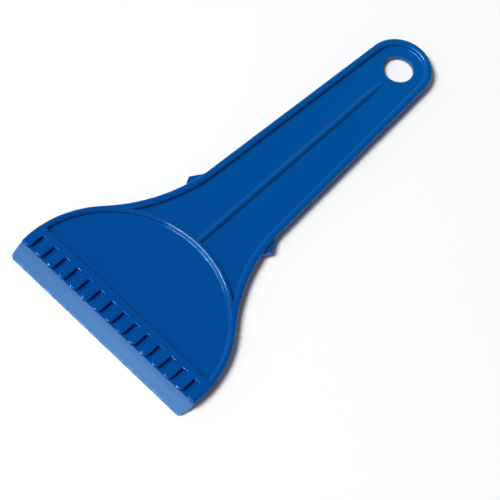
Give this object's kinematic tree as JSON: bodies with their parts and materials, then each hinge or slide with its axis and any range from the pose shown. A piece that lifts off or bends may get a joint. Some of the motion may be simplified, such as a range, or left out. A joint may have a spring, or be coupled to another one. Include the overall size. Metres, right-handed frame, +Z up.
{
  "type": "windshield ice scraper",
  "caption": "Flat hand-held ice scraper: half-round head with a bevelled blade and a row of ice-breaking teeth, ribbed tapered handle with a hang hole.",
  "frame": {"origin": "centre of the footprint, at the level of the back rim and the blade's underside", "axes": "+Z up out of the front face (teeth, arch and rib), +Y from the cutting edge to the hang hole, +X across the head"},
  "size_m": [0.1, 0.21, 0.005],
  "materials": {
    "body_plastic": "moulded, semi-gloss, deep blue",
    "blade_plastic": "moulded, semi-gloss, pale periwinkle blue"
  },
  "bodies": {
    "root": {"scraper_body": "body_plastic", "blade_insert": "blade_plastic"}
  },
  "joints": []
}
